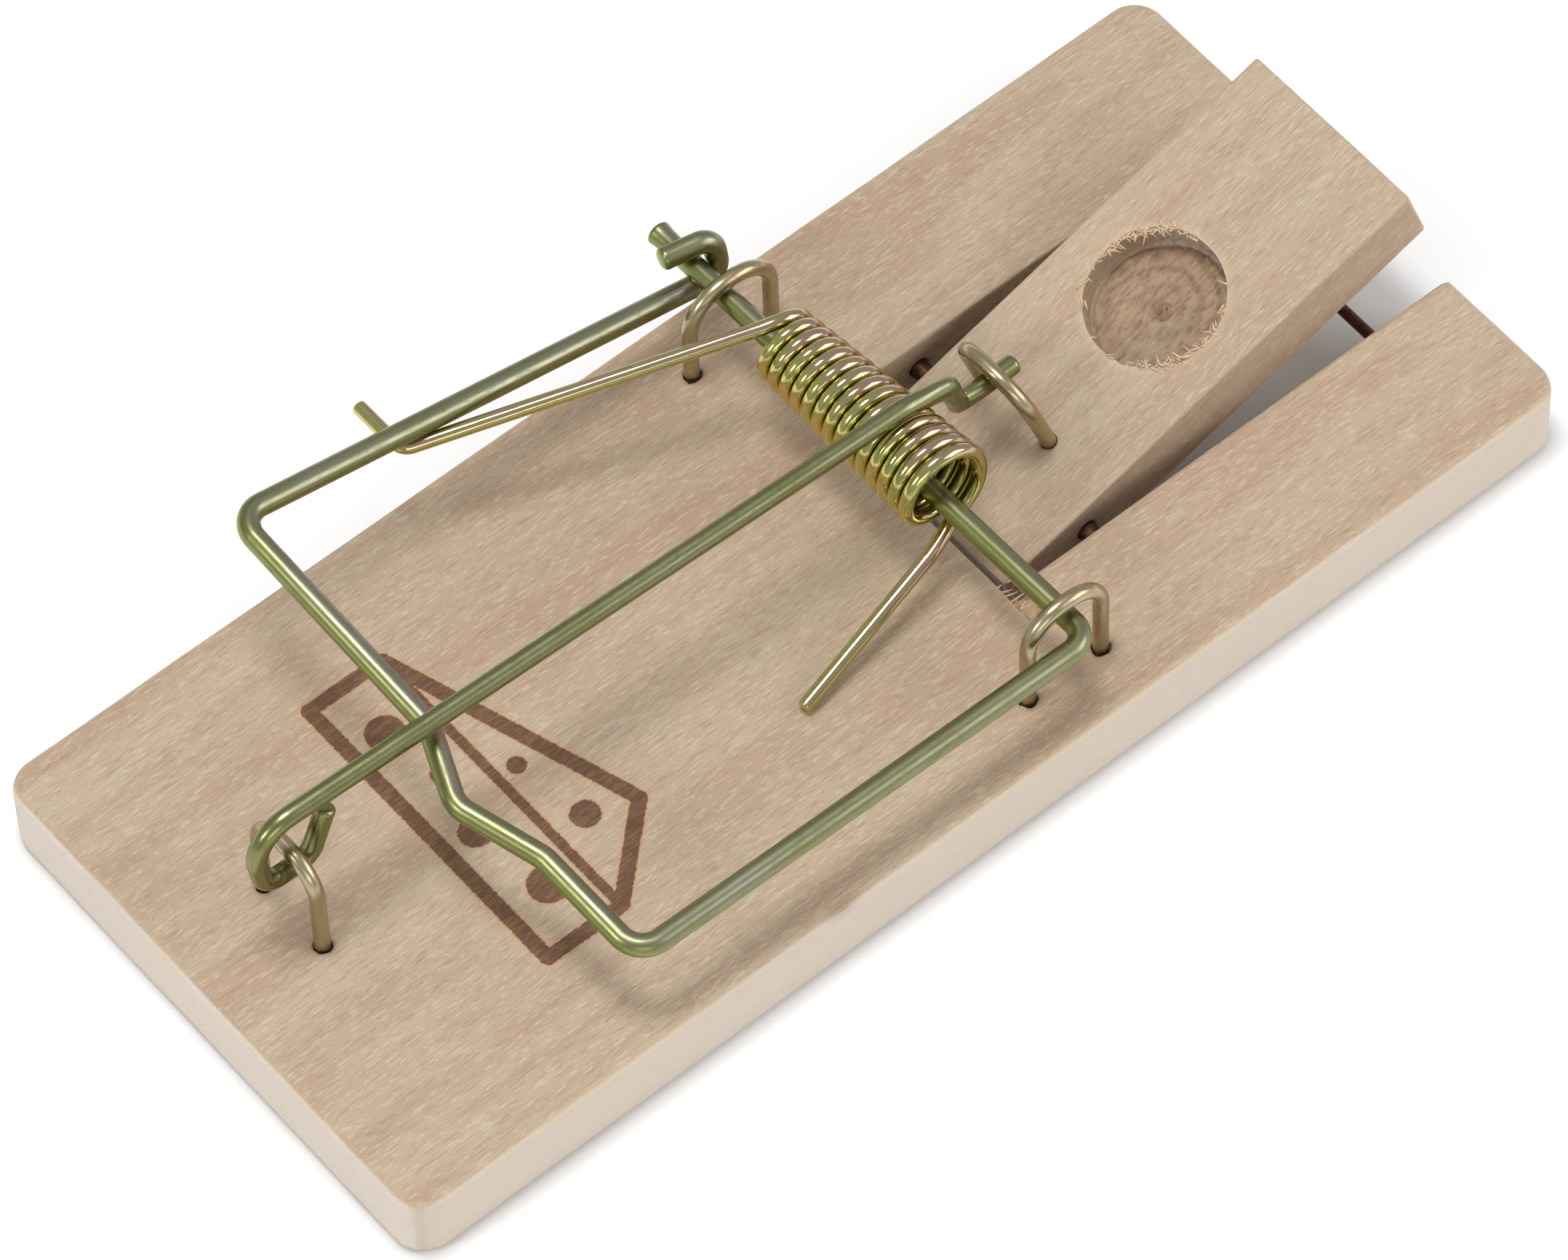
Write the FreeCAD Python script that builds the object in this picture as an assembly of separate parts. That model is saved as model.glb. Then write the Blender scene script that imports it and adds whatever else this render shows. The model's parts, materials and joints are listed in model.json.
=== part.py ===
"""Snap mouse trap in the set position: a wooden board, a tilting wooden treadle and bent-wire working parts.

Millimetres. The origin is at the centre of the board's underside. +X runs along the board towards the
treadle's free end, +Y across it, +Z up. One STEP file is written for each separate piece.
"""

import FreeCAD, Part
import math
import os

from FreeCAD import Vector

# ---- Board -------------------------------------------------------------------------------------------
BOARD_LENGTH = 105.0
BOARD_WIDTH = 46.5
BOARD_THICKNESS = 6.5
BOARD_CORNER_RADIUS = 2.6
BOARD_EDGE_RADIUS = 0.7
NOTCH_START_X = 10.8  # inner end of the notch that holds the treadle
NOTCH_NEAR_Y = -10.65
NOTCH_FAR_Y = 9.65
KERF_WIDTH = 1.9  # saw cut across the board that runs a little past the notch's near corner
KERF_END_Y = -14.6
KERF_DEPTH = 1.6

# ---- Treadle, drawn level in its notch and then tipped up about its pivot -----------------------------
TREADLE_START_X = 12.8
TREADLE_END_X = 52.7
TREADLE_WIDTH = 16.5
TREADLE_CENTRE_Y = -0.5
TREADLE_THICKNESS = 5.9
TREADLE_EDGE_RADIUS = 0.3
TREADLE_SET_ANGLE = 18.4  # degrees that the free end is tipped up when the trap is set
TREADLE_FLOOR_GAP = 0.4  # the sunk inner end is planed off underneath, to stay this far above the ground
PIVOT_X = 20.0
PIVOT_Z = 3.25
BAIT_HOLE_X = 35.0
BAIT_HOLE_DIAMETER = 10.5
BAIT_HOLE_DEPTH = 2.8
BAIT_POINT_DIAMETER = 1.6  # centre mark of the flat drill
BAIT_POINT_DEPTH = 0.7

# ---- Pins across the notch ---------------------------------------------------------------------------
PIVOT_PIN_DIAMETER = 1.5
STOP_PIN_DIAMETER = 0.9
STOP_PIN_X = 46.5
STOP_PIN_Z = 3.0
PIN_INNER_Y = -17.0  # the pins are driven in from the far side and end blind in the near rail
PIN_HEAD_RECESS = 0.3
RUNNING_CLEARANCE = 0.05  # radial, treadle bore on pivot pin
TIGHT_CLEARANCE = 0.01  # radial, wire and pins held in wood
OVERRUN = 1.0  # how far a drill or cutter passes beyond an outer face

# ---- Wire sizes --------------------------------------------------------------------------------------
BAIL_WIRE = 1.7
BAR_WIRE = 1.5
STAPLE_WIRE = 1.2
SPRING_WIRE = 1.12

# ---- Striker bail, held down to the left; it is twisted a little by the pull of the spring ------------
AXLE_FREE_END_X = 9.2  # the axle slants a little between its two staples
AXLE_FREE_END_Y = 25.7
AXLE_NEAR_X = 9.96
AXLE_Z = 13.0
NEAR_ARM_Y = -20.6
NEAR_CORNER = Vector(-30.35, -20.55, 13.9)
FAR_CORNER = Vector(-31.0, 22.3, 19.3)
KINK_START = Vector(-30.6, 1.6, 16.7)
KINK_BOTTOM = Vector(-33.0, -4.2, 15.9)
KINK_END = Vector(-30.75, -11.0, 15.1)
HOOK_START_Y = 21.0  # the far arm passes under the axle here, then winds back over it
HOOK_UNDER_DROP = 1.85
HOOK_SIDE_X = 11.1
HOOK_RADIUS = 1.3
HOOK_TOP_Y = 21.7
HOOK_TOP_Z = 14.8
HOOK_END = Vector(7.0, 22.5, 14.85)
NEAR_BEND_RADIUS = 1.7
BAIL_CORNER_RADIUS = 2.0
KINK_RADIUS = 2.5

# ---- Staples: span between legs, crown height over the wood, leg length in the wood -------------------
STAPLE_LEG_DEPTH = 4.6
STAPLE_SHOULDER = 0.92  # shoulder radius as a share of half the span
FAR_STAPLE_X = 9.7
FAR_STAPLE_Y = 18.2
FAR_STAPLE_SPAN = 7.4
FAR_STAPLE_HEIGHT = 8.1
NEAR_STAPLE_X = 9.6
NEAR_STAPLE_Y = -18.3
NEAR_STAPLE_SPAN = 6.7
NEAR_STAPLE_HEIGHT = 8.7
BAR_STAPLE_X = -43.6
BAR_STAPLE_Y = 1.2
BAR_STAPLE_SPAN = 6.5
BAR_STAPLE_HEIGHT = 8.8
TREADLE_STAPLE_X = 22.4
TREADLE_STAPLE_Y = 0.6
TREADLE_STAPLE_SPAN = 7.0
TREADLE_STAPLE_HEIGHT = 7.7

# ---- Torsion spring: left-hand coil round the axle, wider towards its near end ------------------------
COIL_NEAR = Vector(9.9, -5.6, 14.45)
COIL_FAR = Vector(9.45, 12.1, 13.75)
COIL_NEAR_RADIUS = 3.2
COIL_FAR_RADIUS = 2.35
COIL_TURNS = 14.5
SHORT_LEG_BEND = Vector(7.5, -6.66, 10.3)
SHORT_LEG_TIP = Vector(-6.4, -9.1, 7.1)
LONG_LEG_BEND = Vector(-17.05, 21.75, 14.9)
LONG_LEG_TIP = Vector(-17.2, 26.5, 15.2)
LEG_BEND_RADIUS = 1.2

# ---- Holding bar: eye round its staple, long run over the bail and spring, cranked tip -----------------
BAR_Y_AT_EYE = 0.83
BAR_Y_AT_SPRING = -0.47
EYE_END = (-40.2, 17.2)
EYE_LOW_RIGHT = (-41.9, 12.9)
EYE_LOW_LEFT = (-45.9, 12.9)
EYE_TOP_LEFT = (-46.6, 19.3)
BAR_OVER_SPRING = (10.4, 18.65)
CRANK_TOP = (14.2, 17.4)
CRANK_FOOT = (16.0, 12.55)
BAR_TIP = (21.3, 12.65)
BAR_TIP_Y = 0.6
EYE_RADIUS = 1.6
EYE_TOP_RADIUS = 3.0
CRANK_RADIUS = 0.95


ALONG_X = Vector(1, 0, 0)
ALONG_Y = Vector(0, 1, 0)
UP = Vector(0, 0, 1)


def rounded_path(points, radii):
    """A wire of straight runs joined by tangent arcs; radii holds one value for each inner point."""
    edges = []
    start = points[0]
    for before, corner, after, radius in zip(points, points[1:], points[2:], radii):
        back = (before - corner).normalize()
        ahead = (after - corner).normalize()
        half_angle = back.getAngle(ahead) / 2
        trim = radius / math.tan(half_angle)
        middle = (back + ahead).normalize() * (radius / math.sin(half_angle) - radius)
        arc_start = corner + back * trim
        arc_end = corner + ahead * trim
        edges.append(Part.LineSegment(start, arc_start).toShape())
        edges.append(Part.Arc(arc_start, corner + middle, arc_end).toShape())
        start = arc_end
    edges.append(Part.LineSegment(start, points[-1]).toShape())
    return Part.Wire(edges)


def bent_wire(points, radii, diameter):
    """A round wire of constant diameter bent along a rounded path."""
    circle = Part.Circle(points[0], points[1] - points[0], diameter / 2).toShape()
    return rounded_path(points, radii).makePipeShell([Part.Wire(circle)], True, False)


def rod(start, end, diameter):
    return Part.makeCylinder(diameter / 2, (end - start).Length, start, end - start)


def staple(centre, span_direction, span, height):
    """A wire staple standing on the plane through centre, its legs running down into the wood."""
    side = span_direction * (span / 2)
    foot = UP * -STAPLE_LEG_DEPTH
    crown = UP * height
    points = [centre - side + foot, centre - side + crown, centre + side + crown, centre + side + foot]
    shoulder = STAPLE_SHOULDER * span / 2
    return bent_wire(points, [shoulder, shoulder], STAPLE_WIRE)


def staple_holes(centre, span_direction, span):
    """The two holes that a staple's legs make, for cutting out of the wood."""
    diameter = STAPLE_WIRE + 2 * TIGHT_CLEARANCE
    feet = [centre + span_direction * (side * span / 2) for side in (-1, 1)]
    return [rod(foot - UP * STAPLE_LEG_DEPTH, foot + UP * OVERRUN, diameter) for foot in feet]


FAR_STAPLE = (Vector(FAR_STAPLE_X, FAR_STAPLE_Y, BOARD_THICKNESS), ALONG_X, FAR_STAPLE_SPAN)
NEAR_STAPLE = (Vector(NEAR_STAPLE_X, NEAR_STAPLE_Y, BOARD_THICKNESS), ALONG_X, NEAR_STAPLE_SPAN)
BAR_STAPLE = (Vector(BAR_STAPLE_X, BAR_STAPLE_Y, BOARD_THICKNESS), ALONG_Y, BAR_STAPLE_SPAN)
TREADLE_TOP_Z = PIVOT_Z + TREADLE_THICKNESS / 2
TREADLE_STAPLE = (Vector(TREADLE_STAPLE_X, TREADLE_STAPLE_Y, TREADLE_TOP_Z), ALONG_Y, TREADLE_STAPLE_SPAN)


def tipped_up(shape):
    """Turns a shape from the level treadle position to the set position."""
    return shape.rotated(Vector(PIVOT_X, 0, PIVOT_Z), ALONG_Y, -TREADLE_SET_ANGLE)


def pin(x, z, diameter):
    return rod(Vector(x, PIN_INNER_Y, z), Vector(x, BOARD_WIDTH / 2 - PIN_HEAD_RECESS, z), diameter)


def pin_hole(x, z, diameter):
    """A hole from the board's far side face to the pin's blind end."""
    far_face = Vector(x, BOARD_WIDTH / 2 + OVERRUN, z)
    return rod(Vector(x, PIN_INNER_Y - TIGHT_CLEARANCE, z), far_face, diameter + 2 * TIGHT_CLEARANCE)


def base_board():
    board = Part.makeBox(
        BOARD_LENGTH, BOARD_WIDTH, BOARD_THICKNESS, Vector(-BOARD_LENGTH / 2, -BOARD_WIDTH / 2, 0)
    )
    upright = [e for e in board.Edges if e.BoundBox.ZLength > BOARD_THICKNESS / 2]
    board = board.makeFillet(BOARD_CORNER_RADIUS, upright)
    level = [e for e in board.Edges if e.BoundBox.ZLength < BOARD_EDGE_RADIUS]
    board = board.makeFillet(BOARD_EDGE_RADIUS, level)
    notch = Part.makeBox(
        BOARD_LENGTH, NOTCH_FAR_Y - NOTCH_NEAR_Y, BOARD_THICKNESS + 2 * OVERRUN,
        Vector(NOTCH_START_X, NOTCH_NEAR_Y, -OVERRUN),
    )
    kerf = Part.makeBox(
        KERF_WIDTH, NOTCH_FAR_Y - KERF_END_Y, BOARD_THICKNESS,
        Vector(NOTCH_START_X, KERF_END_Y, BOARD_THICKNESS - KERF_DEPTH),
    )
    cutters = [notch, kerf, pin_hole(PIVOT_X, PIVOT_Z, PIVOT_PIN_DIAMETER)]
    cutters.append(pin_hole(STOP_PIN_X, STOP_PIN_Z, STOP_PIN_DIAMETER))
    for centre, direction, span in (FAR_STAPLE, NEAR_STAPLE, BAR_STAPLE):
        cutters += staple_holes(centre, direction, span)
    return board.cut(cutters)


def treadle():
    plank = Part.makeBox(
        TREADLE_END_X - TREADLE_START_X, TREADLE_WIDTH, TREADLE_THICKNESS,
        Vector(TREADLE_START_X, TREADLE_CENTRE_Y - TREADLE_WIDTH / 2, TREADLE_TOP_Z - TREADLE_THICKNESS),
    )
    plank = plank.makeFillet(TREADLE_EDGE_RADIUS, plank.Edges)
    hole_floor = Vector(BAIT_HOLE_X, TREADLE_CENTRE_Y, TREADLE_TOP_Z - BAIT_HOLE_DEPTH)
    bait_hole = rod(hole_floor, hole_floor + UP * (BAIT_HOLE_DEPTH + OVERRUN), BAIT_HOLE_DIAMETER)
    point_end = hole_floor - UP * BAIT_POINT_DEPTH
    drill_point = Part.makeCone(0, BAIT_POINT_DIAMETER / 2, BAIT_POINT_DEPTH, point_end)
    bore = rod(
        Vector(PIVOT_X, NOTCH_NEAR_Y, PIVOT_Z), Vector(PIVOT_X, NOTCH_FAR_Y, PIVOT_Z),
        PIVOT_PIN_DIAMETER + 2 * RUNNING_CLEARANCE,
    )
    plank = plank.cut([bait_hole, drill_point, bore] + staple_holes(*TREADLE_STAPLE))
    below_ground = Part.makeBox(
        BOARD_LENGTH, BOARD_WIDTH, BOARD_THICKNESS,
        Vector(0, -BOARD_WIDTH / 2, TREADLE_FLOOR_GAP - BOARD_THICKNESS),
    )
    return tipped_up(plank).cut(below_ground)


def striker_bail():
    """One wire: free axle end, axle, near bend, near arm, kinked crossbar, far arm, hook round the axle."""
    points = [
        Vector(AXLE_FREE_END_X, AXLE_FREE_END_Y, AXLE_Z),
        Vector(AXLE_NEAR_X, NEAR_ARM_Y, AXLE_Z),
        NEAR_CORNER,
        KINK_END,
        KINK_BOTTOM,
        KINK_START,
        FAR_CORNER,
        Vector(HOOK_SIDE_X, HOOK_START_Y, AXLE_Z - HOOK_UNDER_DROP),
        Vector(HOOK_SIDE_X, HOOK_TOP_Y, HOOK_TOP_Z),
        HOOK_END,
    ]
    radii = [NEAR_BEND_RADIUS, BAIL_CORNER_RADIUS, KINK_RADIUS, KINK_RADIUS, KINK_RADIUS, BAIL_CORNER_RADIUS]
    radii += [HOOK_RADIUS, HOOK_RADIUS]
    return bent_wire(points, radii, BAIL_WIRE)


def torsion_spring():
    """One wire: short leg on the board, coil round the axle, long leg under the bail's far arm."""
    axis = COIL_FAR - COIL_NEAR
    pitch = axis.Length / COIL_TURNS
    taper = -math.degrees(math.atan((COIL_NEAR_RADIUS - COIL_FAR_RADIUS) / axis.Length))
    helix = Part.makeLongHelix(pitch, axis.Length, COIL_NEAR_RADIUS, taper, True)
    first, last = helix.Edges[0], helix.Edges[-1]
    start = first.valueAt(first.FirstParameter)
    end = last.valueAt(last.LastParameter)
    circle = Part.Circle(start, first.tangentAt(first.FirstParameter), SPRING_WIRE / 2).toShape()
    coil = helix.makePipeShell([Part.Wire(circle)], True, True)
    # The helix starts at the bottom of the near turn and ends at the top of the far one.
    lie_down = FreeCAD.Placement(COIL_NEAR, FreeCAD.Rotation(Vector(0, 0, -1), Vector(), axis, "ZXY"))
    coil.Placement = lie_down
    start = lie_down.multVec(start)
    end = lie_down.multVec(end)
    short_leg = bent_wire([start, SHORT_LEG_BEND, SHORT_LEG_TIP], [LEG_BEND_RADIUS], SPRING_WIRE)
    long_leg = bent_wire([end, LONG_LEG_BEND, LONG_LEG_TIP], [LEG_BEND_RADIUS], SPRING_WIRE)
    bends = [Part.makeSphere(SPRING_WIRE / 2, start), Part.makeSphere(SPRING_WIRE / 2, end)]
    return coil.fuse([short_leg, long_leg] + bends)


def holding_bar():
    def at(place, y):
        return Vector(place[0], y, place[1])

    points = [at(place, BAR_Y_AT_EYE) for place in (EYE_END, EYE_LOW_RIGHT, EYE_LOW_LEFT, EYE_TOP_LEFT)]
    points += [at(BAR_OVER_SPRING, BAR_Y_AT_SPRING), at(CRANK_TOP, BAR_Y_AT_SPRING)]
    points += [at(CRANK_FOOT, BAR_TIP_Y), at(BAR_TIP, BAR_TIP_Y)]
    radii = [EYE_RADIUS, EYE_RADIUS, EYE_TOP_RADIUS, EYE_TOP_RADIUS, CRANK_RADIUS, CRANK_RADIUS]
    return bent_wire(points, radii, BAR_WIRE)


os.makedirs("parts", exist_ok=True)
PIECES = {
    "base_board": base_board(),
    "treadle": treadle(),
    "treadle_pivot_pin": pin(PIVOT_X, PIVOT_Z, PIVOT_PIN_DIAMETER),
    "treadle_stop_pin": pin(STOP_PIN_X, STOP_PIN_Z, STOP_PIN_DIAMETER),
    "striker_bail": striker_bail(),
    "axle_staple_far": staple(*FAR_STAPLE, FAR_STAPLE_HEIGHT),
    "axle_staple_near": staple(*NEAR_STAPLE, NEAR_STAPLE_HEIGHT),
    "torsion_spring": torsion_spring(),
    "holding_bar": holding_bar(),
    "holding_bar_staple": staple(*BAR_STAPLE, BAR_STAPLE_HEIGHT),
    "treadle_staple": tipped_up(staple(*TREADLE_STAPLE, TREADLE_STAPLE_HEIGHT)),
}
for name, shape in PIECES.items():
    shape.exportStep(f"parts/{name}.step")
    print(name, shape.isValid(), len(shape.Solids), round(shape.Volume, 2))
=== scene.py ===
"""Looks of the set snap mouse trap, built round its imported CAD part.

Lengths named here are millimetres in the part's frame; meshes are made in metres. The grain of the wood runs
along X, the axle of the striker bail along Y.
"""

import json
import math
import random

import bpy
import numpy as np
from mathutils import Matrix, Vector, noise

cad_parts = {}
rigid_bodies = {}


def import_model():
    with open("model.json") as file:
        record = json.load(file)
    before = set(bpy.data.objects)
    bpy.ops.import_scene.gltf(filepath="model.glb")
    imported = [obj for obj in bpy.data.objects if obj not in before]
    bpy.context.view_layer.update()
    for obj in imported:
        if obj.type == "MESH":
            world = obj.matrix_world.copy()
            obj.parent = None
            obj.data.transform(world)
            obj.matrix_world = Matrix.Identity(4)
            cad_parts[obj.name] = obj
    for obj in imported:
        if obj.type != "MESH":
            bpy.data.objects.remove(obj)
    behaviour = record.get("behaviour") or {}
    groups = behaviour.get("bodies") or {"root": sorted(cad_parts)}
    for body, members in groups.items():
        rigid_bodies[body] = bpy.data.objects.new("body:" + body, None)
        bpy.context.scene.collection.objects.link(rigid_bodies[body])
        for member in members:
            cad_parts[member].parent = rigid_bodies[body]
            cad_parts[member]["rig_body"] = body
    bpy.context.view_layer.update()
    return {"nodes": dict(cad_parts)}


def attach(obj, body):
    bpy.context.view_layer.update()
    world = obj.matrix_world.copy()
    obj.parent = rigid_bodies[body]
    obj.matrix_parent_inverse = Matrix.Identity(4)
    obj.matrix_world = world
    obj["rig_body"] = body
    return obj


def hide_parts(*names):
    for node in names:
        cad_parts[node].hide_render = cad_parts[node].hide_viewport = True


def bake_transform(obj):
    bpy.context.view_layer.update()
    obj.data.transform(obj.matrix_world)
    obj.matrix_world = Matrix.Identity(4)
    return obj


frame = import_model()
random.seed(7)

MM = 0.001

# ---- Wires -------------------------------------------------------------------------------------------
BAIL_WIRE = 1.7
BAR_WIRE = 1.5
STAPLE_WIRE = 1.2
SPRING_WIRE = 1.12
WIRE_SIDES = 32
WIRE_STEP = 0.8  # longest gap between rings on a straight run
ARC_STEP = math.radians(6)
END_RINGS = (0.03, 0.07, 0.12, 0.2, 0.35, 0.6, 0.95, 1.4)  # ring distances from a cut end
END_ROUNDING = 0.16  # how far a cut end is rounded over, as a share of the diameter
END_NARROWING = 0.28  # how much narrower the very end is
END_DOME = 0.02  # how far the middle of a cut end stands out
FLARE_REACH = 0.6  # how quickly a flare dies away from the cut end
JOIN_GAP = 0.01  # rings closer than this are merged

BAIL_POINTS = [
    (9.2, 25.7, 13.0), (9.96, -20.6, 13.0), (-30.35, -20.55, 13.9), (-30.75, -11.0, 15.1),
    (-33.0, -4.2, 15.9), (-30.6, 1.6, 16.7), (-31.0, 22.3, 19.3), (11.1, 21.0, 11.15), (11.1, 21.7, 14.8),
    (7.0, 22.5, 14.85),
]
BAIL_RADII = [1.7, 2.0, 2.5, 2.5, 2.5, 2.0, 1.3, 1.3]
BAR_POINTS = [
    (-40.2, 0.83, 17.2), (-41.9, 0.83, 12.9), (-45.9, 0.83, 12.9), (-46.6, 0.83, 19.3), (10.4, -0.47, 18.65),
    (14.2, -0.47, 17.4), (16.0, 0.6, 12.55), (21.3, 0.6, 12.65),
]
BAR_RADII = [1.6, 1.6, 3.0, 3.0, 0.95, 0.95]

BOARD_TOP = 6.5
STAPLE_LEG = 4.6
STAPLE_SHOULDER = 0.92
STAPLES = {  # node: body, centre on the wood, span direction, span, crown height
    "axle_staple_far": ("base", (9.7, 18.2, BOARD_TOP), (1, 0, 0), 7.4, 8.1),
    "axle_staple_near": ("base", (9.6, -18.3, BOARD_TOP), (1, 0, 0), 6.7, 8.7),
    "holding_bar_staple": ("base", (-43.6, 1.2, BOARD_TOP), (0, 1, 0), 6.5, 8.8),
    "treadle_staple": ("treadle", (22.4, 0.6, 6.2), (0, 1, 0), 7.0, 7.7),
}

COIL_NEAR, COIL_FAR = Vector((9.9, -5.6, 14.45)), Vector((9.45, 12.1, 13.75))
COIL_NEAR_RADIUS, COIL_FAR_RADIUS = 3.2, 2.35
COIL_TURNS = 14.5
COIL_RINGS_PER_TURN = 48
SHORT_LEG_TIP, SHORT_LEG_BEND = Vector((-6.4, -9.1, 7.1)), Vector((7.5, -6.66, 10.3))
LONG_LEG_POINTS = [Vector((-17.05, 21.75, 14.9)), Vector((-17.2, 26.5, 15.2))]
LEG_BEND_RADIUS = 1.2

# ---- Wood --------------------------------------------------------------------------------------------
PIVOT = Vector((20.0, 0.0, 3.25))
SET_ANGLE = math.radians(18.4)
BOARD_VOXEL = 0.28
TREADLE_VOXEL = 0.19
NOTCH_START_X, NOTCH_NEAR_Y = 10.8, -10.65
KERF_WIDTH, KERF_END_Y = 1.9, -14.6
BAIT_CENTRE = Vector((35.0, -0.5, 6.2))
BAIT_RADIUS, BAIT_DEPTH = 5.25, 2.8
KERF_FIBRES, KERF_FIBRE = 40, ((0.5, 1.5), (0.14, 0.3), (-0.1, 0.12))  # how many; length, width and curl
BAIT_FIBRES, BAIT_FIBRE = 260, ((0.3, 0.95), (0.1, 0.26), (-0.2, 0.25))
FIBRE_STEPS = 5
FACE_WAVES, FACE_GRAIN = 0.03, 0.012  # how far planed faces wander inwards, in long waves and in fine grain
# The bruise radius also bounds the painted shade in the pit round each staple leg.
BRUISE_RADIUS, BRUISE_DEPTH = 0.74, 0.5  # crushed wood round a staple leg
NICK, NICK_RADIUS, NICK_DEPTH = Vector((-14.5, -22.9, BOARD_TOP)), 2.0, 0.22  # in the near top edge
FRAY_WIDTH = 0.7  # of the torn band round the bait recess
FRAY_ANGLE = math.radians(50)  # the drill tears the rim most here and straight across from here


def vectors(points):
    return [Vector(p) for p in points]


def rounded_route(points, radii):
    """Points along straight runs joined by tangent arcs; radii holds one value for each inner point."""
    route = [points[0]]
    for before, corner, after, radius in zip(points, points[1:], points[2:], radii):
        back = (before - corner).normalized()
        ahead = (after - corner).normalized()
        half = back.angle(ahead) / 2
        centre = corner + (back + ahead).normalized() * (radius / math.sin(half))
        spoke = corner + back * (radius / math.tan(half)) - centre
        turn = math.pi - 2 * half
        steps = max(3, math.ceil(turn / ARC_STEP))
        for i in range(steps + 1):
            route.append(centre + Matrix.Rotation(turn * i / steps, 3, spoke.cross(-back)) @ spoke)
    return route + [points[-1]]


def distances(route):
    gaps = [(b - a).length for a, b in zip(route, route[1:])]
    return np.concatenate([[0], np.cumsum(gaps)])


def filled_in(route):
    """The route with points added on long runs and close to both ends."""
    along = distances(route)
    wanted = set(along)
    for a, b in zip(along, along[1:]):
        wanted.update(np.linspace(a, b, math.ceil((b - a) / WIRE_STEP) + 1))
    for offset in END_RINGS:
        wanted.update((offset, along[-1] - offset))
    wanted = np.array(sorted(wanted))
    wanted = wanted[np.concatenate([[True], np.diff(wanted) > JOIN_GAP])]
    xyz = np.array(route)
    return [Vector(p) for p in np.stack([np.interp(wanted, along, xyz[:, k]) for k in range(3)], 1)]


def new_piece(name, vertices, faces, places=None):
    """A smooth-shaded mesh from millimetres; places is where each vertex lies on the straightened wire."""
    mesh = bpy.data.meshes.new(name)
    mesh.from_pydata([v * MM for v in vertices], [], faces)
    mesh.shade_smooth()
    if places is not None:
        straight = mesh.attributes.new("straight", "FLOAT_VECTOR", "POINT")
        straight.data.foreach_set("vector", np.array(places, np.float32).ravel())
    piece = bpy.data.objects.new(name, mesh)
    bpy.context.collection.objects.link(piece)
    return piece


def wire(name, route, diameter, flares=(0.0, 0.0), pressed=None):
    """A round wire swept along route. A flare widens a cut end; pressed(point) gives its width and height."""
    route = filled_in(route)
    along = distances(route)
    total = along[-1]
    tangents = [(b - a).normalized() for a, b in zip([route[0]] + route, route[1:] + [route[-1]])]
    steep = abs(tangents[0].z) > 0.9
    side = tangents[0].cross(Vector((0, 1, 0)) if steep else Vector((0, 0, 1))).normalized()
    vertices, places, faces = [], [], []
    for i, (point, tangent, s) in enumerate(zip(route, tangents, along)):
        side = (side - tangent * side.dot(tangent)).normalized()
        up = side.cross(tangent)
        left = total - s
        swell = 1 + flares[0] * math.exp(-s / FLARE_REACH) + flares[1] * math.exp(-left / FLARE_REACH)
        shoulder = max(0, 1 - min(s, left) / (END_ROUNDING * diameter))
        swell *= 1 - END_NARROWING * shoulder ** 2
        wide, tall = pressed(point) if pressed else (1, 1)
        for k in range(WIRE_SIDES):
            angle = 2 * math.pi * k / WIRE_SIDES
            across = side * (math.cos(angle) * wide) + up * (math.sin(angle) * tall)
            vertices.append(point + across * (swell * diameter / 2))
            places.append((s, math.cos(angle) * diameter / 2, math.sin(angle) * diameter / 2))
        if i:
            row, last = i * WIRE_SIDES, (i - 1) * WIRE_SIDES
            for k in range(WIRE_SIDES):
                n = (k + 1) % WIRE_SIDES
                faces.append((last + k, last + n, row + n, row + k))
    for ring, s, flip in ((0, 0.0, 1), (len(route) - 1, total, -1)):
        first = ring * WIRE_SIDES
        centre = len(vertices)
        vertices.append(route[ring] + tangents[ring] * (END_DOME * -flip))
        places.append((s, 0, 0))
        for k in range(WIRE_SIDES):
            faces.append((centre, first + (k + 1) % WIRE_SIDES, first + k)[::flip])
    return new_piece(name, vertices, faces, places)


def curve_between(a, a_heading, b, b_heading, steps=10):
    """Points of a smooth curve that leaves a along a_heading and arrives at b along b_heading."""
    reach = (b - a).length
    points = []
    for i in range(1, steps):
        t = i / steps
        points.append(
            a * (2 * t**3 - 3 * t**2 + 1) + a_heading * (reach * (t**3 - 2 * t**2 + t))
            + b * (3 * t**2 - 2 * t**3) + b_heading * (reach * (t**3 - t**2))
        )
    return points


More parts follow.
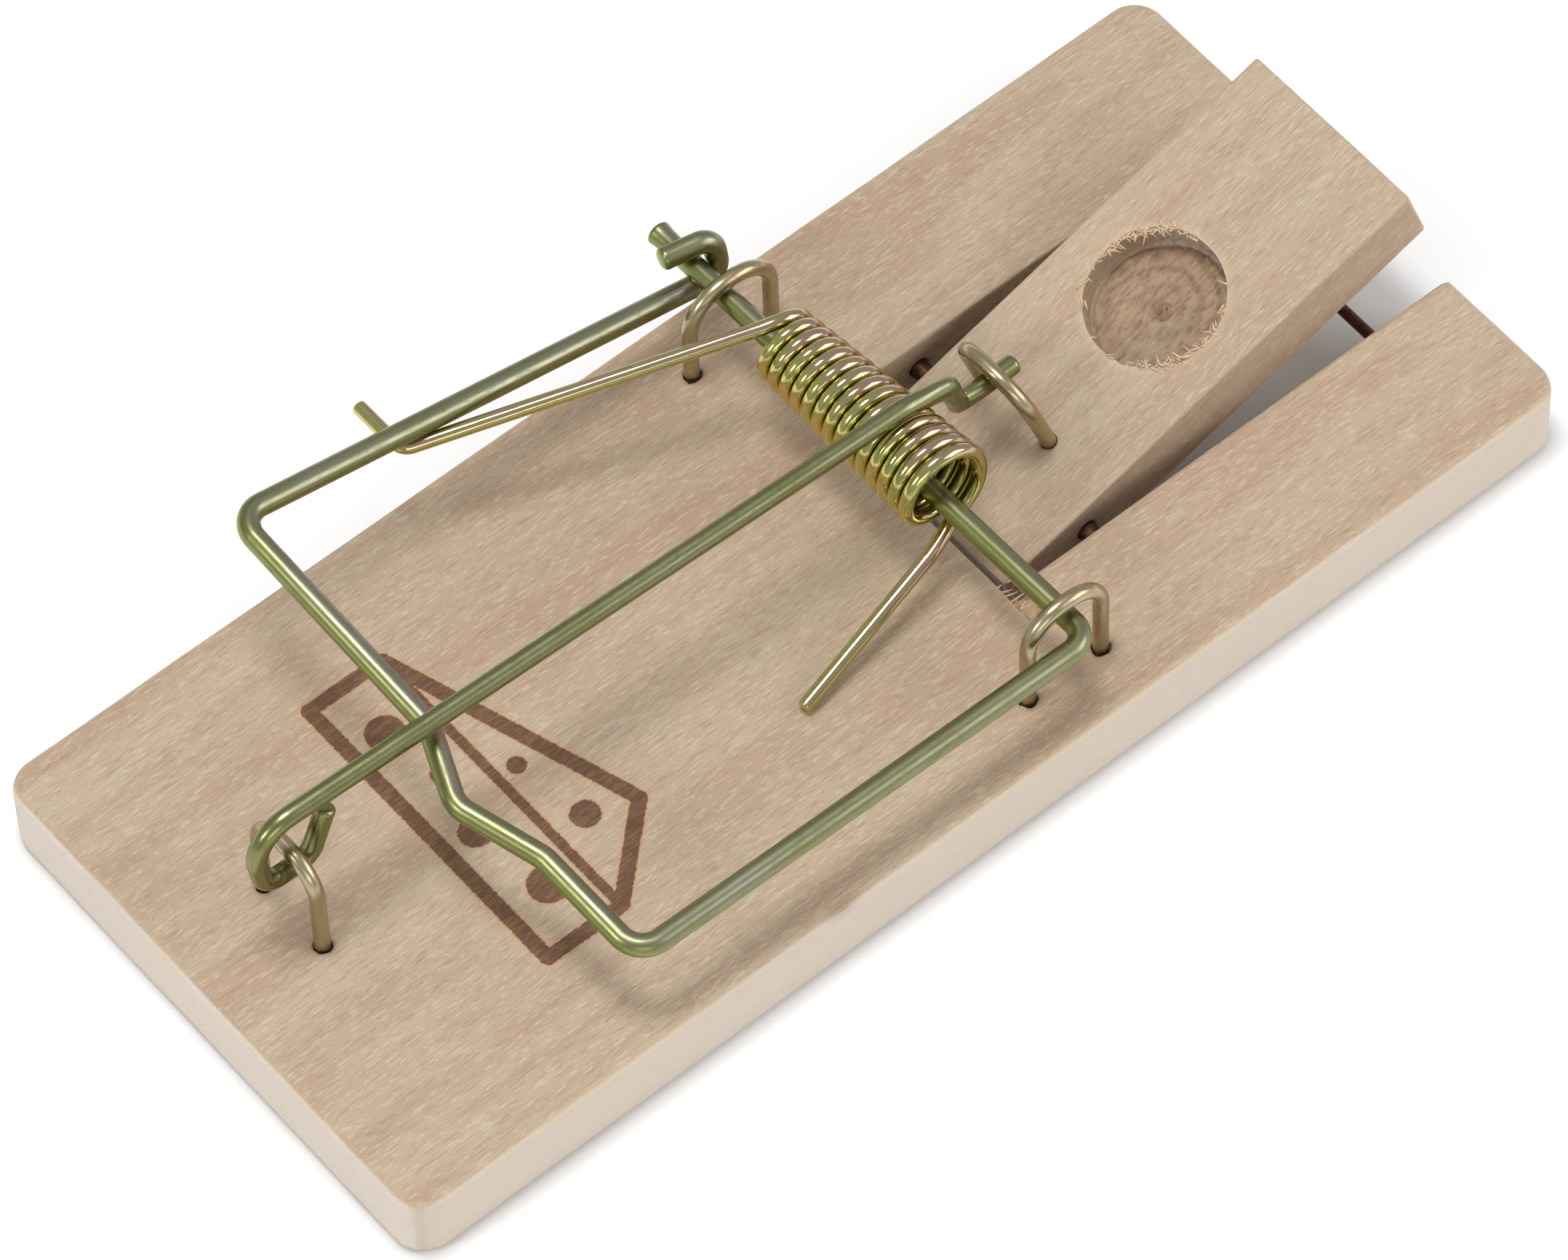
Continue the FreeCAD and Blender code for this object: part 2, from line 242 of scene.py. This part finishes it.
def spring_route():
    """The short leg, the left-hand coil from its wide near end to its narrow far end, and the long leg."""
    axis = COIL_FAR - COIL_NEAR
    down = Vector((0, 0, -1))
    down = (down - axis * (down.dot(axis) / axis.length_squared)).normalized()
    coil = []
    rings = int(COIL_TURNS * COIL_RINGS_PER_TURN)
    for i in range(rings + 1):
        t = i / rings
        spoke = Matrix.Rotation(-2 * math.pi * COIL_TURNS * t, 3, axis) @ down
        radius = COIL_NEAR_RADIUS + (COIL_FAR_RADIUS - COIL_NEAR_RADIUS) * t
        coil.append(COIL_NEAR + axis * t + spoke * radius)
    long_leg = rounded_route([coil[-1]] + LONG_LEG_POINTS, [LEG_BEND_RADIUS])
    eased = COIL_RINGS_PER_TURN // 14
    near_heading = (SHORT_LEG_BEND - SHORT_LEG_TIP).normalized()
    near_join = SHORT_LEG_BEND - near_heading * 0.8
    far_heading = (LONG_LEG_POINTS[0] - coil[-1]).normalized()
    far_join = coil[-1] + far_heading * 1.6
    coil = coil[eased:-eased]
    start = curve_between(near_join, near_heading, coil[0], (coil[1] - coil[0]).normalized())
    end = curve_between(coil[-1], (coil[-1] - coil[-2]).normalized(), far_join, far_heading)
    return [SHORT_LEG_TIP, near_join] + start + coil + end + [far_join] + long_leg[1:]


def bar_press(point):
    """The bar is squeezed a little flat where the crank was bent."""
    crest = math.exp(-((point.x - 13.6) / 1.5) ** 2) * (point.z > 15)
    foot = math.exp(-((point.x - 16.6) / 1.0) ** 2) * (point.z < 15)
    return 1 + 0.25 * crest + 0.18 * foot, 1 - 0.14 * crest - 0.12 * foot


def staple(name):
    body, centre, direction, span, height = STAPLES[name]
    centre, half = Vector(centre), Vector(direction) * (span / 2)
    down, up = Vector((0, 0, -STAPLE_LEG)), Vector((0, 0, height))
    points = [centre - half + down, centre - half + up, centre + half + up, centre + half + down]
    if body == "treadle":
        points = [tipped(p) for p in points]
    route = rounded_route(points, [STAPLE_SHOULDER * span / 2] * 2)
    return wire(name + "_wire", route, STAPLE_WIRE)


def tipped(point):
    return PIVOT + Matrix.Rotation(-SET_ANGLE, 3, "Y") @ (point - PIVOT)


def level(point):
    return PIVOT + Matrix.Rotation(SET_ANGLE, 3, "Y") @ (point - PIVOT)


# ---- Wood meshes -------------------------------------------------------------------------------------
def fine_copy(node, voxel, place=None):
    """A finely divided copy of a CAD node's mesh, in millimetres, first moved by place if it is given."""
    mesh = frame["nodes"][node].data.copy()
    helper = bpy.data.objects.new("helper", mesh)
    bpy.context.collection.objects.link(helper)
    for vertex in mesh.vertices:
        point = vertex.co / MM
        vertex.co = place(point) if place else point
    divide = helper.modifiers.new("divide", "REMESH")
    divide.mode = "VOXEL"
    divide.voxel_size = voxel
    fine = bpy.data.meshes.new_from_object(helper.evaluated_get(bpy.context.evaluated_depsgraph_get()))
    vertices = [v.co.copy() for v in fine.vertices]
    normals = [v.normal.copy() for v in fine.vertices]
    faces = [tuple(p.vertices) for p in fine.polygons]
    bpy.data.objects.remove(helper)
    return vertices, normals, faces


def rough(point, along, across, seed=0.0):
    """Noise from -1 to 1, drawn out along the grain."""
    return noise.noise(Vector((point.x / along + seed, point.y / across, point.z / across)))


def planed(point, wave_seed, grain_seed):
    """How far a planed face sinks at point."""
    waves = FACE_WAVES * (1 + rough(point, 9.0, 5.0, wave_seed))
    return waves + FACE_GRAIN * (1 + rough(point, 1.6, 0.7, grain_seed))


def add_fibre(vertices, faces, root, heading, length, width, curl):
    """A torn wood fibre: a thin tapering four-sided sliver that curls upwards."""
    side = heading.cross(Vector((0, 0, 1))).normalized()
    first = len(vertices)
    for i in range(FIBRE_STEPS + 1):
        t = i / FIBRE_STEPS
        centre = root + heading * (length * t) + Vector((0, 0, curl * length * t * t))
        half = width / 2 * (1 - 0.85 * t)
        for a, b in ((1, 0), (0, 0.5), (-1, 0), (0, -0.5)):
            vertices.append(centre + side * (a * half) + Vector((0, 0, b * half)))
    for i in range(FIBRE_STEPS):
        low, high = first + 4 * i, first + 4 * (i + 1)
        for k in range(4):
            n = (k + 1) % 4
            faces.append((low + k, low + n, high + n, high + k))
    faces.append(tuple(first + k for k in (3, 2, 1, 0)))
    faces.append(tuple(first + 4 * FIBRE_STEPS + k for k in range(4)))


def wood_piece(name, vertices, faces, shade, torn):
    """A wood piece that carries shade and torn values; the fibres added last are all torn."""
    piece = new_piece(name, vertices, faces)
    for attribute, values in (("shade", shade), ("torn", torn)):
        values = np.concatenate([values, np.ones(len(vertices) - len(values)) * (attribute == "torn")])
        layer = piece.data.attributes.new(attribute, "FLOAT", "POINT")
        layer.data.foreach_set("value", values.astype(np.float32))
    return piece


def board():
    vertices, normals, faces = fine_copy("base_board", BOARD_VOXEL)
    feet = []
    for body, centre, direction, span, _ in STAPLES.values():
        if body == "base":
            feet += [Vector(centre) + Vector(direction) * (side * span / 2) for side in (-1, 1)]
    shade, torn = np.zeros(len(vertices)), np.zeros(len(vertices))
    kerf = Vector((NOTCH_START_X + KERF_WIDTH / 2, (NOTCH_NEAR_Y + KERF_END_Y) / 2, BOARD_TOP))
    for i, (v, n) in enumerate(zip(vertices, normals)):
        sink = planed(v, 0.0, 4.0)
        if v.z > BOARD_TOP - 1.0:
            for foot in feet:
                d = math.hypot((v.x - foot.x) * 0.8, v.y - foot.y + 0.18)
                if d < 1.1:
                    ragged = max(0.0, BRUISE_RADIUS - d + 0.35 * rough(v, 0.8, 0.5, foot.x))
                    sink += BRUISE_DEPTH * ragged
                    # painted shade in the pit round the staple leg
                    shade[i] = max(shade[i], min(1, 1.8 * ragged))
        tear = Vector(((v.x - kerf.x) / 1.6, (v.y - kerf.y) / 2.6, 0)).length
        if tear < 1.3 and v.z > BOARD_TOP - 2.2:
            amount = min(1.0, 1.3 - tear)
            sink += amount * (0.16 + 0.3 * max(0.0, rough(v, 0.9, 0.3, 2.0)))
            torn[i] = amount
        from_nick = (v - NICK) * Vector((1.0, 2.2, 1.4))
        nicked = 1 - from_nick.length / NICK_RADIUS
        if nicked > 0:
            sink += NICK_DEPTH * nicked
            # painted shade in the nick
            shade[i] = max(shade[i], nicked / 2)
        vertices[i] = v - n * sink
    for _ in range(KERF_FIBRES):
        edge = random.choice((NOTCH_START_X - 0.1, NOTCH_START_X + KERF_WIDTH + 0.1))
        inwards = 1 if edge < kerf.x else -1
        root = Vector((edge, random.uniform(KERF_END_Y - 0.3, NOTCH_NEAR_Y + 1.2), BOARD_TOP))
        root.z -= random.uniform(0.05, 0.7)
        heading = Vector((inwards, random.uniform(-0.7, 0.7), 0)).normalized()
        add_fibre(vertices, faces, root, heading, *(random.uniform(*limits) for limits in KERF_FIBRE))
    return wood_piece("board_wood_body", vertices, faces, shade, torn)


def recess_floor(v, out, angle):
    """The lift, torn and shade values at v on the rough floor that a flat drill leaves."""
    r = out.length
    fibres = rough(v, 0.9, 0.22, 5.0) + 0.7 * rough(v, 0.4, 0.2, 9.0)
    patches = 0.5 + 0.5 * rough(v, 2.5, 2.5, 3.0)
    ridge = math.exp(-((r - 1.3) / 0.6) ** 2) * (0.6 + rough(v, 0.7, 0.5, 8.0))
    lift = 0.1 + 0.05 * math.sin(3.2 * r - 1.5 * angle) + 0.2 * fibres * patches + 0.35 * ridge
    swirl = max(0, math.sin(4.5 * r - 2.0 * angle + 2.0 * rough(v, 2.0, 1.5, 7.0)))
    shade = 0.42 + 0.6 * max(0, -fibres) + 0.3 * math.exp(-(r / 0.6) ** 2)
    return lift, 0.15 + 0.5 * max(0, fibres), shade + 0.05 * swirl * max(0, out.x + 2.5)


def recess_wall(v, ends):
    """The sink, torn and shade values at v on the recess's wall, which is rough where it cuts end grain."""
    wall = rough(v, 0.5, 0.25, 12.0) + 0.6 * noise.noise(v * 3.1)
    shade = (0.35 + 0.55 * max(0, wall)) * ends ** 2 + 0.15
    return (0.12 + 0.16 * wall) * ends ** 2, 0.15 * ends, shade


def recess_rim(v, out, angle):
    """The sideways push, sink and torn values at v round the frayed rim of the recess."""
    fray = max(0.0, 1 - abs(out.length - BAIT_RADIUS) / FRAY_WIDTH)
    quadrant = max(0.0, math.cos(2 * (angle - FRAY_ANGLE)))
    push = out.to_3d().normalized() * (0.3 * fray * quadrant * noise.noise(v * 2.3))
    return push, fray * quadrant * 0.15 * (1 + noise.noise(v * 4.0)), fray * (0.4 + 0.6 * quadrant)


def treadle():
    vertices, normals, faces = fine_copy("treadle", TREADLE_VOXEL, level)
    shade, torn = np.zeros(len(vertices)), np.zeros(len(vertices))
    floor_z = BAIT_CENTRE.z - BAIT_DEPTH
    for i, (v, n) in enumerate(zip(vertices, normals)):
        sink = planed(v, 30.0, 14.0)
        out = Vector((v.x - BAIT_CENTRE.x, v.y - BAIT_CENTRE.y))
        angle = math.atan2(out.y, out.x)
        lift = Vector()
        if out.length < BAIT_RADIUS + 1.2 and v.z > floor_z - 1.0:
            if out.length < BAIT_RADIUS - 0.25 and v.z < floor_z + 0.5:
                lift.z, torn[i], shade[i] = recess_floor(v, out, angle)
            elif out.length < BAIT_RADIUS + 0.1 and v.z < BAIT_CENTRE.z - 0.25:
                rougher, torn[i], shade[i] = recess_wall(v, abs(math.cos(angle)))
                sink += rougher
            else:
                lift, rougher, torn[i] = recess_rim(v, out, angle)
                sink += rougher
        vertices[i] = v - n * sink + lift
    for _ in range(BAIT_FIBRES):
        angle = math.radians(random.gauss(65, 26) + random.choice((0, 180)))
        rim = Vector((math.cos(angle), math.sin(angle), 0))
        root = BAIT_CENTRE + rim * (BAIT_RADIUS + random.uniform(-0.12, 0.3))
        root.z -= random.uniform(0.02, 0.3)
        tangent = Vector((-rim.y, rim.x, 0)) * random.choice((-1, 1))
        heading = (tangent * random.uniform(0.1, 1.0) - rim * random.uniform(-0.5, 0.9)).normalized()
        add_fibre(vertices, faces, root, heading, *(random.uniform(*limits) for limits in BAIT_FIBRE))
    return wood_piece("treadle_wood_body", [tipped(v) for v in vertices], faces, shade, torn)


# ---- Material nodes ----------------------------------------------------------------------------------
def linear(red, green, blue):
    """A colour given as 0 to 255 screen values, as the renderer wants it."""
    shares = [value / 255 for value in (red, green, blue)]
    return tuple(s / 12.92 if s <= 0.04045 else ((s + 0.055) / 1.055) ** 2.4 for s in shares) + (1,)


class Nodes:
    """Short calls for making one material's nodes."""

    def __init__(self, name):
        self.material = bpy.data.materials.new(name)
        self.material.use_nodes = True
        self.tree = self.material.node_tree
        self.shader = self.tree.nodes["Principled BSDF"]

    def add(self, kind, inputs, output=0, **settings):
        made = self.tree.nodes.new("ShaderNode" + kind)
        for key, value in settings.items():
            setattr(made, key, value)
        for key, value in inputs.items():
            self.put(made.inputs[key], value)
        return made.outputs[output]

    def put(self, socket, value):
        if isinstance(value, bpy.types.NodeSocket):
            self.tree.links.new(value, socket)
        else:
            socket.default_value = value

    def math(self, operation, a, b=0.0, clamp=False):
        return self.add("Math", {0: a, 1: b}, operation=operation, use_clamp=clamp)

    def noise(self, place, scale, detail=2.0, roughness=0.5, distortion=0.0):
        stretched = self.add("VectorMath", {0: place, 1: scale}, operation="MULTIPLY")
        inputs = {"Vector": stretched, "Scale": 1.0, "Detail": detail, "Roughness": roughness}
        inputs["Distortion"] = distortion
        return self.add("TexNoise", inputs)

    def step(self, value, low, high, to_low=0.0, to_high=1.0):
        inputs = {0: value, 1: low, 2: high, 3: to_low, 4: to_high}
        return self.add("MapRange", inputs, interpolation_type="SMOOTHSTEP")

    def mix(self, factor, a, b, blend="MIX"):
        return self.add("Mix", {0: factor, 6: a, 7: b}, output=2, data_type="RGBA", blend_type=blend)

    def ramp(self, value, stops):
        made = self.tree.nodes.new("ShaderNodeValToRGB")
        points = made.color_ramp.elements
        while len(points) < len(stops):
            points.new(0.5)
        for point, (place, colour) in zip(points, stops):
            point.position = place
            point.color = colour
        self.put(made.inputs[0], value)
        return made.outputs[0]

    def finish(self, **values):
        for key, value in values.items():
            self.put(self.shader.inputs[key.replace("_", " ")], value)
        return self.material


BEIGE = linear(188, 169, 144)
WARM = linear(177, 149, 125)
PALE = linear(212, 197, 175)
PORE = linear(146, 118, 94)
END_GRAIN_AND_SIDE_LIGHT = linear(216, 204, 190)
END_DOT = linear(196, 172, 156)
EDGE_WEAR_AND_HIGHLIGHT = linear(208, 190, 160)
TORN = linear(224, 196, 160)
DEEP_SHADE = linear(118, 80, 50)
BURN = linear(116, 82, 58)
BURN_DARK = linear(88, 58, 40)
SCORCH = linear(196, 150, 104)


def segment_distance(n, place, a, b):
    """Distance in the board's plane from place to the line from a to b."""
    a, b = Vector((*a, 0)), Vector((*b, 0))
    from_a = n.add("VectorMath", {0: place, 1: a}, operation="SUBTRACT")
    along = (b - a) / (b - a).length_squared
    share = n.add("VectorMath", {0: from_a, 1: along}, output=1, operation="DOT_PRODUCT")
    share = n.math("MULTIPLY", share, 1.0, clamp=True)
    foot = n.add("VectorMath", {0: b - a, "Scale": share}, operation="SCALE")
    return n.add("VectorMath", {0: from_a, 1: foot}, output=1, operation="DISTANCE")


def burned_mark(n, place):
    """A plain burned cheese wedge with round holes: distance outside its strokes, negative inside."""
    flat = n.add("VectorMath", {0: place, 1: (1, 1, 0)}, operation="MULTIPLY")
    corner = {
        "low_left": (-32.5, 13.5), "low_right": (-32.5, -13.0),
        "left": (-26.0, 13.5), "right": (-26.0, -13.0), "peak": (-19.5, -7.0),
    }
    strokes = (
        ("low_left", "low_right", 0.6), ("low_right", "right", 0.6), ("right", "left", 0.4),
        ("left", "low_left", 0.6), ("left", "peak", 0.6), ("peak", "right", 0.6),
    )
    nearest = 50.0
    for a, b, half in strokes:
        d = n.math("SUBTRACT", segment_distance(n, flat, corner[a], corner[b]), half)
        nearest = n.math("MINIMUM", d, nearest)
    holes = (
        ((-29.6, 8.6), 1.5), ((-28.6, 3.4), 0.95), ((-29.9, -1.8), 1.3),
        ((-28.7, -8.4), 1.6), ((-23.2, -5.6), 1.15), ((-24.3, 0.6), 0.75),
    )
    for centre, radius in holes:
        d = n.add("VectorMath", {0: flat, 1: (*centre, 0)}, output=1, operation="DISTANCE")
        nearest = n.math("MINIMUM", n.math("SUBTRACT", d, radius), nearest)
    return nearest


def wood(name, tilt, marked):
    """Pale, short-fibred timber: soft pinkish streaks along X, fine flecks and pores, pale end grain."""
    n = Nodes(name)
    coordinates = n.tree.nodes.new("ShaderNodeTexCoord")
    place = n.add("Mapping", {0: coordinates.outputs["Object"], 2: (0, tilt, 0), 3: (1 / MM,) * 3})
    normal = n.add("SeparateXYZ", {0: coordinates.outputs["Normal"]}).node.outputs
    seeded = n.add("VectorMath", {0: place, 1: (0, 0, 40 * (not marked))}, operation="ADD")
    streak = n.noise(seeded, (0.018, 0.16, 0.2), 3.0, 0.55, 0.6)
    fine_streak = n.noise(seeded, (0.035, 0.9, 0.9), 3.0, 0.6)
    cloud = n.noise(seeded, (0.09, 0.16, 0.16), 2.0)
    fleck = n.noise(seeded, (1.0, 5.5, 5.5), 3.0, 0.6)
    pore = n.noise(seeded, (0.6, 7.0, 7.0), 3.0, 0.6)
    grit = n.noise(seeded, (3.0, 9.0, 9.0), 3.0, 0.7)
    warm = n.math("ADD", n.step(streak, 0.4, 0.64, 0.0, 0.6), n.step(fine_streak, 0.45, 0.7, 0.0, 0.35))
    warm = n.math("ADD", warm, n.step(cloud, 0.4, 0.7, 0.0, 0.25), clamp=True)
    colour = n.mix(warm, BEIGE, WARM)
    colour = n.mix(n.step(fleck, 0.5, 0.68, 0.0, 0.5), colour, PALE)
    colour = n.mix(n.step(pore, 0.5, 0.68, 0.0, 0.42), colour, PORE)
    darker = n.mix(1.0, colour, (0.87, 0.85, 0.83, 1), "MULTIPLY")
    colour = n.mix(n.step(grit, 0.35, 0.65, 0.0, 0.35), colour, darker)
    end = n.step(n.math("ABSOLUTE", normal[0]), 0.55, 0.85)
    dots = n.noise(seeded, (4.0, 4.5, 4.5), 2.0)
    end_colour = n.mix(n.step(dots, 0.55, 0.7, 0.0, 0.5), END_GRAIN_AND_SIDE_LIGHT, END_DOT)
    colour = n.mix(end, colour, end_colour)
    # Painted light: the board's outer long sides take the pale end-grain tone. This is partly the sawn side's
    # own tone and partly painted light from the lamps at the front and sides.
    side = n.step(n.math("ABSOLUTE", normal[1]), 0.6, 0.9, 0.0, 0.75 if marked else 0.0)
    across = n.add("SeparateXYZ", {0: place}, output=1)
    side = n.math("MULTIPLY", side, n.step(n.math("ABSOLUTE", across), 19.0, 22.0))
    colour = n.mix(side, colour, END_GRAIN_AND_SIDE_LIGHT)
    # Paler rounded edges, on the faces that point half up: partly rubbed wood, partly painted highlight.
    up = n.math("MAXIMUM", normal[2], 0.0)
    rim = n.math("MULTIPLY", n.math("MULTIPLY", up, n.math("SUBTRACT", 1.0, up)), 4.0)
    colour = n.mix(n.math("MULTIPLY", rim, n.step(cloud, 0.35, 0.65, 0.0, 0.5)), colour, EDGE_WEAR_AND_HIGHLIGHT)
    height = n.math("ADD", n.math("MULTIPLY", fleck, 0.7), n.math("MULTIPLY", grit, 0.5))
    if marked:
        wobble = n.math("MULTIPLY", n.math("SUBTRACT", n.noise(place, (2.2, 4.5, 4.5), 2.0), 0.5), 0.28)
        mark = n.math("ADD", burned_mark(n, place), wobble)
        on_top = n.step(normal[2], 0.9, 0.98)
        scorch = n.math("MULTIPLY", n.step(mark, 0.3, 0.0, 0.0, 0.55), on_top)
        burn = n.math("MULTIPLY", n.step(mark, 0.05, -0.1), on_top)
        burn_colour = n.mix(n.step(fleck, 0.4, 0.65), BURN_DARK, BURN)
        colour = n.mix(scorch, colour, SCORCH)
        colour = n.mix(n.math("MULTIPLY", burn, 0.93), colour, burn_colour)
        height = n.math("SUBTRACT", height, n.math("MULTIPLY", burn, 1.6))
    torn = n.add("Attribute", {}, output=2, attribute_name="torn")
    shade = n.add("Attribute", {}, output=2, attribute_name="shade")
    colour = n.mix(n.math("MULTIPLY", torn, 0.75), colour, TORN)
    # Painted shade: this darkens the pits round the staple legs, the nick in the near edge, and the bait
    # recess's floor and walls.
    colour = n.mix(n.math("MULTIPLY", shade, 0.85), colour, DEEP_SHADE)
    bump = n.add("Bump", {"Strength": 0.9, "Distance": 0.06 * MM, "Height": height})
    dull = n.step(grit, 0.3, 0.7, 0.55, 0.78)
    return n.finish(Base_Color=colour, Roughness=dull, Normal=bump, Specular_IOR_Level=0.3)


def plated(name, stops, roughness, variation=0.35, drawing=0.1):
    """Passivated zinc on drawn wire: the plating's own tint drifts along the wire, and the tint that changes
    with the way a face points is painted reflection.
    """
    n = Nodes(name)
    facing = n.add("TexCoord", {}, output=1)
    straight = n.add("Attribute", {}, output=1, attribute_name="straight")
    # painted reflection: the colour follows the way the face points
    turn = n.add("VectorMath", {0: facing, 1: REFLECTION_TINT_DIRECTION}, output=1, operation="DOT_PRODUCT")
    drift = n.math("SUBTRACT", n.noise(straight, (0.11, 0.5, 0.5), 3.0), 0.5)
    phase = n.math("ADD", n.math("MULTIPLY", turn, 0.5), 0.5)
    phase = n.math("ADD", phase, n.math("MULTIPLY", drift, variation), clamp=True)
    colour = n.ramp(phase, stops)
    drawn = n.noise(straight, (0.2, 3.5, 3.5), 3.0, 0.55)
    spots = n.noise(straight, (0.8, 2.2, 2.2), 4.0, 0.62)
    darker = n.mix(1.0, colour, (0.6, 0.6, 0.55, 1), "MULTIPLY")
    colour = n.mix(n.step(spots, 0.5, 0.72, 0.0, 0.5), colour, darker)
    height = n.math("ADD", drawn, n.math("MULTIPLY", spots, 0.4))
    bump = n.add("Bump", {"Strength": drawing, "Distance": 0.05 * MM, "Height": height})
    rough_value = n.step(spots, 0.35, 0.7, roughness, roughness + 0.1)
    return n.finish(Base_Color=colour, Roughness=rough_value, Normal=bump, Metallic=1.0)


def dark_pin(name):
    n = Nodes(name)
    place = n.add("VectorMath", {0: n.add("TexCoord", {}, output=3), 1: (1 / MM,) * 3}, operation="MULTIPLY")
    rust = n.noise(place, (2.0, 2.0, 2.0), 4.0, 0.6)
    colour = n.ramp(rust, [(0.35, linear(70, 50, 42)), (0.6, linear(104, 72, 54))])
    bump = n.add("Bump", {"Strength": 0.3, "Distance": 0.02 * MM, "Height": rust})
    return n.finish(Base_Color=colour, Roughness=n.step(rust, 0.3, 0.7, 0.35, 0.6), Normal=bump, Metallic=0.8)


# Painted reflection: faces turned towards this direction take the last tint of a list.
REFLECTION_TINT_DIRECTION = (0.35, -0.3, 0.6)  # faces turned this way take the last tint of a list
MAUVE = linear(176, 154, 156)
GREY_GREEN = linear(150, 150, 124)
OLIVE = linear(134, 134, 88)
GREEN = linear(140, 150, 88)
GOLD_GREEN = linear(184, 186, 112)
GOLD = linear(212, 196, 124)
YELLOW = linear(206, 200, 116)
ROSE = linear(196, 164, 146)
BROWN_GOLD = linear(190, 166, 132)
GREY_GOLD = linear(176, 168, 136)


def show(piece, material, node):
    """Puts piece in place of its CAD node, on the same body."""
    piece.data.materials.append(material)
    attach(piece, frame["nodes"][node]["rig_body"])
    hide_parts(node)


# Tints are listed from faces turned away from the tint direction to faces turned towards it. They give the
# plating's own gold and olive, with painted reflection of the room, the wood and the lamps.
bail_stops = [(0.08, GOLD_GREEN), (0.34, GREEN), (0.7, OLIVE), (0.86, GREY_GREEN), (0.98, MAUVE)]
bar_stops = [(0.03, ROSE), (0.2, GOLD_GREEN), (0.45, OLIVE), (0.75, OLIVE), (0.98, GREY_GREEN)]
spring_stops = [(0.1, YELLOW), (0.4, GOLD), (0.62, GOLD_GREEN), (0.92, ROSE)]
staple_stops = [(0.1, BROWN_GOLD), (0.6, GREY_GOLD), (0.95, BROWN_GOLD)]

board_wood = wood("board_wood_grain", 0.0, True)
treadle_wood = wood("treadle_wood_grain", SET_ANGLE, False)
bail_metal = plated("bail_plating", bail_stops, 0.3)
bar_metal = plated("bar_plating", bar_stops, 0.25, drawing=0.2)
spring_metal = plated("spring_plating", spring_stops, 0.09, 0.5, 0.03)
staple_metal = plated("staple_plating", staple_stops, 0.24)
pin_metal = dark_pin("pin_metal")

show(board(), board_wood, "base_board")
show(treadle(), treadle_wood, "treadle")
bail_route = rounded_route(vectors(BAIL_POINTS), BAIL_RADII)
bail = wire("striker_bail_wire", bail_route, BAIL_WIRE, flares=(0.2, 0.03))
show(bail, bail_metal, "striker_bail")
bar_route = rounded_route(vectors(BAR_POINTS), BAR_RADII)
bar = wire("holding_bar_wire", bar_route, BAR_WIRE, pressed=bar_press)
show(bar, bar_metal, "holding_bar")
for name in STAPLES:
    show(staple(name), staple_metal, name)

spring = wire("torsion_spring_wire", spring_route(), SPRING_WIRE)
spring.data.materials.append(spring_metal)
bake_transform(spring)
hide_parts("torsion_spring")

for name in ("treadle_pivot_pin", "treadle_stop_pin"):
    for part_slot in frame["nodes"][name].material_slots:
        part_slot.material = pin_metal

# ---- Floor, light and camera -------------------------------------------------------------------------
FLOOR_HALF = 3000.0
FLOOR_Z = -0.05  # just below the board, so that the two never share a plane
floor_corners = [(x * FLOOR_HALF, y * FLOOR_HALF, FLOOR_Z) for x, y in ((-1, -1), (1, -1), (1, 1), (-1, 1))]
floor = new_piece("floor", vectors(floor_corners), [(0, 1, 2, 3)])
floor_paint = Nodes("floor_paint").finish(
    Base_Color=(0.93, 0.93, 0.93, 1), Roughness=0.9, Specular_IOR_Level=0.1
)
floor.data.materials.append(floor_paint)


def softbox(name, direction, distance, width, depth, power):
    """A rectangular area light that faces the trap from a direction."""
    data = bpy.data.lights.new(name, "AREA")
    data.shape = "RECTANGLE"
    data.size = width
    data.size_y = depth
    data.energy = power
    light = bpy.data.objects.new(name, data)
    bpy.context.collection.objects.link(light)
    direction = Vector(direction).normalized()
    light.location = direction * distance
    light.rotation_mode = "QUATERNION"
    light.rotation_quaternion = direction.to_track_quat("Z", "Y")


softbox("overhead", (-0.05, 0.1, 0.98), 0.75, 0.2, 0.24, 2.6)
softbox("left", (-0.8, 0.1, 0.57), 0.75, 0.2, 0.2, 1.2)
softbox("near_right", (0.8, -0.75, 0.6), 0.9, 0.6, 0.5, 2.6)
softbox("near_left", (-0.55, -0.95, 0.45), 0.9, 0.5, 0.3, 1.0)

world = bpy.data.worlds.new("studio")
world.use_nodes = True
background = world.node_tree.nodes["Background"]
background.inputs["Color"].default_value = (0.86, 0.88, 0.9, 1)
background.inputs["Strength"].default_value = 0.55
bpy.context.scene.world = world
bpy.context.scene.view_settings.view_transform = "Standard"

CAMERA_AZIMUTH = math.radians(-37.931)
CAMERA_ELEVATION = math.radians(56.718)
CAMERA_ROLL = math.radians(-2.255)
CAMERA_PLACE = Vector((-236.09, -301.95, 584.07))
SENSOR_WIDTH = 36.0
LENS = 226.49

back = Vector((
    math.sin(CAMERA_AZIMUTH) * math.cos(CAMERA_ELEVATION),
    -math.cos(CAMERA_AZIMUTH) * math.cos(CAMERA_ELEVATION),
    math.sin(CAMERA_ELEVATION),
))
level_right = Vector((0, 0, 1)).cross(back).normalized()
level_up = back.cross(level_right)
right = level_right * math.cos(CAMERA_ROLL) + level_up * math.sin(CAMERA_ROLL)
above = level_up * math.cos(CAMERA_ROLL) - level_right * math.sin(CAMERA_ROLL)
camera_data = bpy.data.cameras.new("camera")
camera_data.sensor_width = SENSOR_WIDTH
camera_data.lens = LENS
camera = bpy.data.objects.new("camera", camera_data)
bpy.context.collection.objects.link(camera)
facing = Matrix((right, above, back)).transposed().to_4x4()
camera.matrix_world = Matrix.Translation(CAMERA_PLACE * MM) @ facing
bpy.context.scene.camera = camera
